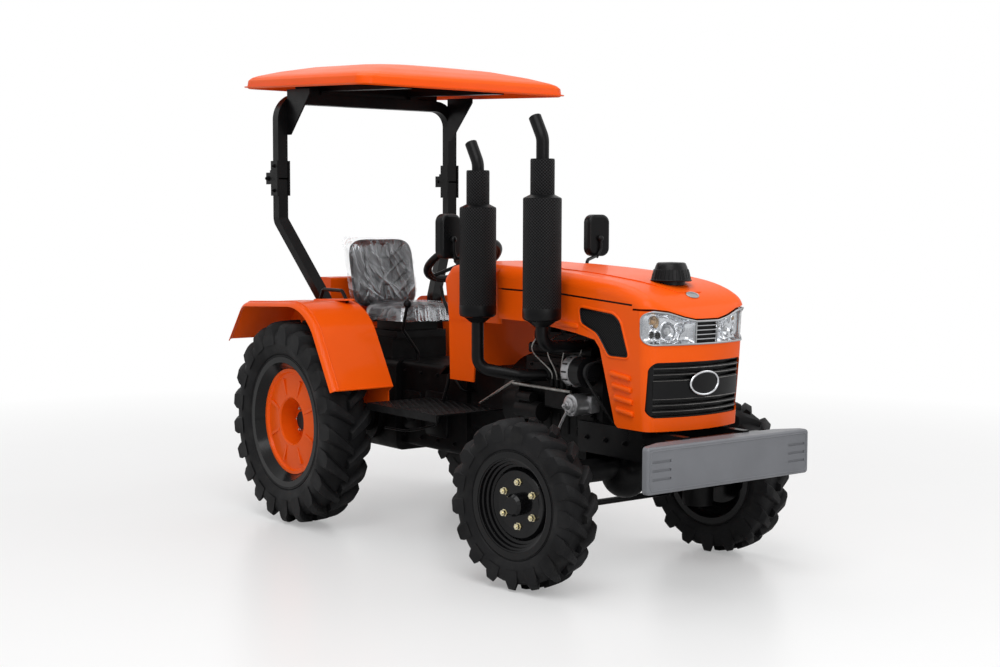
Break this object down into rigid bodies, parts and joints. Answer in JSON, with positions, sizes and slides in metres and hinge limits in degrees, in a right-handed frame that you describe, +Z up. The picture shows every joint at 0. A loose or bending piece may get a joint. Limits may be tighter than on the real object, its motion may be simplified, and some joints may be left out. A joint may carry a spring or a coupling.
{
  "type": "farm tractor",
  "caption": "compact four-wheel-drive farm tractor with a sun canopy on a folding roll-over frame, tall exhaust stacks and a rear three-point hitch",
  "frame": {"origin": "on the ground under the middle of the bounding box", "axes": "+X forward, +Y left, +Z up"},
  "size_m": [3.257, 1.446, 2.2873],
  "materials": {
    "tyre": "matte",
    "orange_paint": "gloss",
    "black_paint": "satin",
    "casting": "satin",
    "grey_paint": "satin",
    "bright_steel": "brushed",
    "alloy": "cast",
    "black_plastic": "matte",
    "lens": "clear",
    "vinyl": "satin"
  },
  "bodies": {
    "chassis": {"alternator": "alloy", "controls": "black_paint", "cowl": "orange_paint", "drawbar": "black_paint", "engine": "casting", "exhaust_stacks": "black_paint", "fenders": "orange_paint", "front_axle": "casting", "front_support": "casting", "front_weight": "grey_paint", "gearbox": "casting", "grab_handles": "black_paint", "grille": "black_plastic", "headlamps": "lens", "hood_shell": "orange_paint", "lamp_louvre": "black_plastic", "lower_posts": "black_paint", "mirror_bases": "orange_paint", "mirrors": "black_plastic", "oil_filter": "alloy", "platforms": "black_paint", "pto_shaft": "bright_steel", "radiator": "black_paint", "rear_axle": "casting", "rear_box": "orange_paint", "seat_back": "vinyl", "seat_base": "black_paint", "seat_cushion": "vinyl", "side_vents": "black_plastic", "steering_column": "black_plastic"},
    "wheel_rear_right": {"rear_tyre_right": "tyre", "rear_rim_right": "black_paint", "rear_disc_right": "orange_paint", "rear_hub_right": "black_paint"},
    "wheel_rear_left": {"rear_tyre_left": "tyre", "rear_rim_left": "black_paint", "rear_disc_left": "orange_paint", "rear_hub_left": "black_paint"},
    "wheel_front_right": {"front_tyre_right": "tyre", "front_wheel_right": "black_paint"},
    "wheel_front_left": {"front_tyre_left": "tyre", "front_wheel_left": "black_paint"},
    "steer_right": {"knuckle_right": "casting"},
    "steer_left": {"knuckle_left": "casting"},
    "tie_bar": {"tie_rod": "black_paint"},
    "hand_wheel": {"steering_wheel": "black_plastic"},
    "hood": {"hood_lid": "orange_paint", "pre_cleaner": "black_plastic"},
    "fold_frame": {"upper_hoop": "black_paint", "canopy": "orange_paint"},
    "hitch_links": {"lower_links": "black_paint"},
    "hitch_arms": {"lift_arms": "black_paint"},
    "hitch_rods": {"lift_rods": "black_paint"}
  },
  "joints": [
    {"name": "spin_rear_right", "type": "hinge", "parent": "chassis", "child": "wheel_rear_right", "pos_m": [-0.7405, -0.605, 0.503], "axis": [0, 1, 0], "continuous": true},
    {"name": "spin_rear_left", "type": "hinge", "parent": "chassis", "child": "wheel_rear_left", "pos_m": [-0.7405, 0.605, 0.503], "axis": [0, 1, 0], "continuous": true},
    {"name": "steer_knuckle_right", "type": "hinge", "parent": "chassis", "child": "steer_right", "pos_m": [0.9995, -0.44, 0.352], "axis": [0, 0, 1], "range_deg": [-46.5, 29.5]},
    {"name": "steer_knuckle_left", "type": "hinge", "parent": "chassis", "child": "steer_left", "pos_m": [0.9995, 0.44, 0.352], "axis": [0, 0, 1], "range_deg": [-46.5, 29.5]},
    {"name": "spin_front_right", "type": "hinge", "parent": "steer_right", "child": "wheel_front_right", "pos_m": [1.02019, -0.57846, 0.352], "axis": [-0.1478, 0.989, 0], "continuous": true},
    {"name": "spin_front_left", "type": "hinge", "parent": "steer_left", "child": "wheel_front_left", "pos_m": [0.97881, 0.57846, 0.352], "axis": [-0.1478, 0.989, 0], "continuous": true},
    {"name": "tie_rod_pivot", "type": "hinge", "parent": "steer_right", "child": "tie_bar", "pos_m": [0.84126, -0.46365, 0.3], "axis": [0, 0, 1], "range_deg": [-29.5, 46.5]},
    {"name": "hand_wheel_turn", "type": "hinge", "parent": "chassis", "child": "hand_wheel", "pos_m": [-0.1935, 0, 1.306], "axis": [-0.5299, 0, 0.848], "range_deg": [-558, 354]},
    {"name": "hood_open", "type": "hinge", "parent": "chassis", "child": "hood", "pos_m": [0.4915, 0, 1.291], "axis": [0, -1, 0], "range_deg": [0, 55]},
    {"name": "frame_fold", "type": "hinge", "parent": "chassis", "child": "fold_frame", "pos_m": [-1.1125, 0, 1.71], "axis": [0, -1, 0], "range_deg": [0, 90]},
    {"name": "hitch_lift", "type": "hinge", "parent": "chassis", "child": "hitch_links", "pos_m": [-0.8505, 0, 0.392], "axis": [0, 1, 0], "range_deg": [-8, 35]},
    {"name": "lift_arm_turn", "type": "hinge", "parent": "chassis", "child": "hitch_arms", "pos_m": [-0.9055, 0, 0.84], "axis": [0, 1, 0], "range_deg": [-8, 35]},
    {"name": "lift_rod_turn", "type": "hinge", "parent": "hitch_links", "child": "hitch_rods", "pos_m": [-1.1205, 0, 0.35249], "axis": [0, 1, 0], "range_deg": [-35, 8]}
  ],
  "couplings": [
    {"joint": "steer_knuckle_left", "follows": "steer_knuckle_right", "ratio": 1},
    {"joint": "tie_rod_pivot", "follows": "steer_knuckle_right", "ratio": -1},
    {"joint": "hand_wheel_turn", "follows": "steer_knuckle_right", "ratio": 12},
    {"joint": "lift_arm_turn", "follows": "hitch_lift", "ratio": 1},
    {"joint": "lift_rod_turn", "follows": "hitch_lift", "ratio": -1}
  ]
}
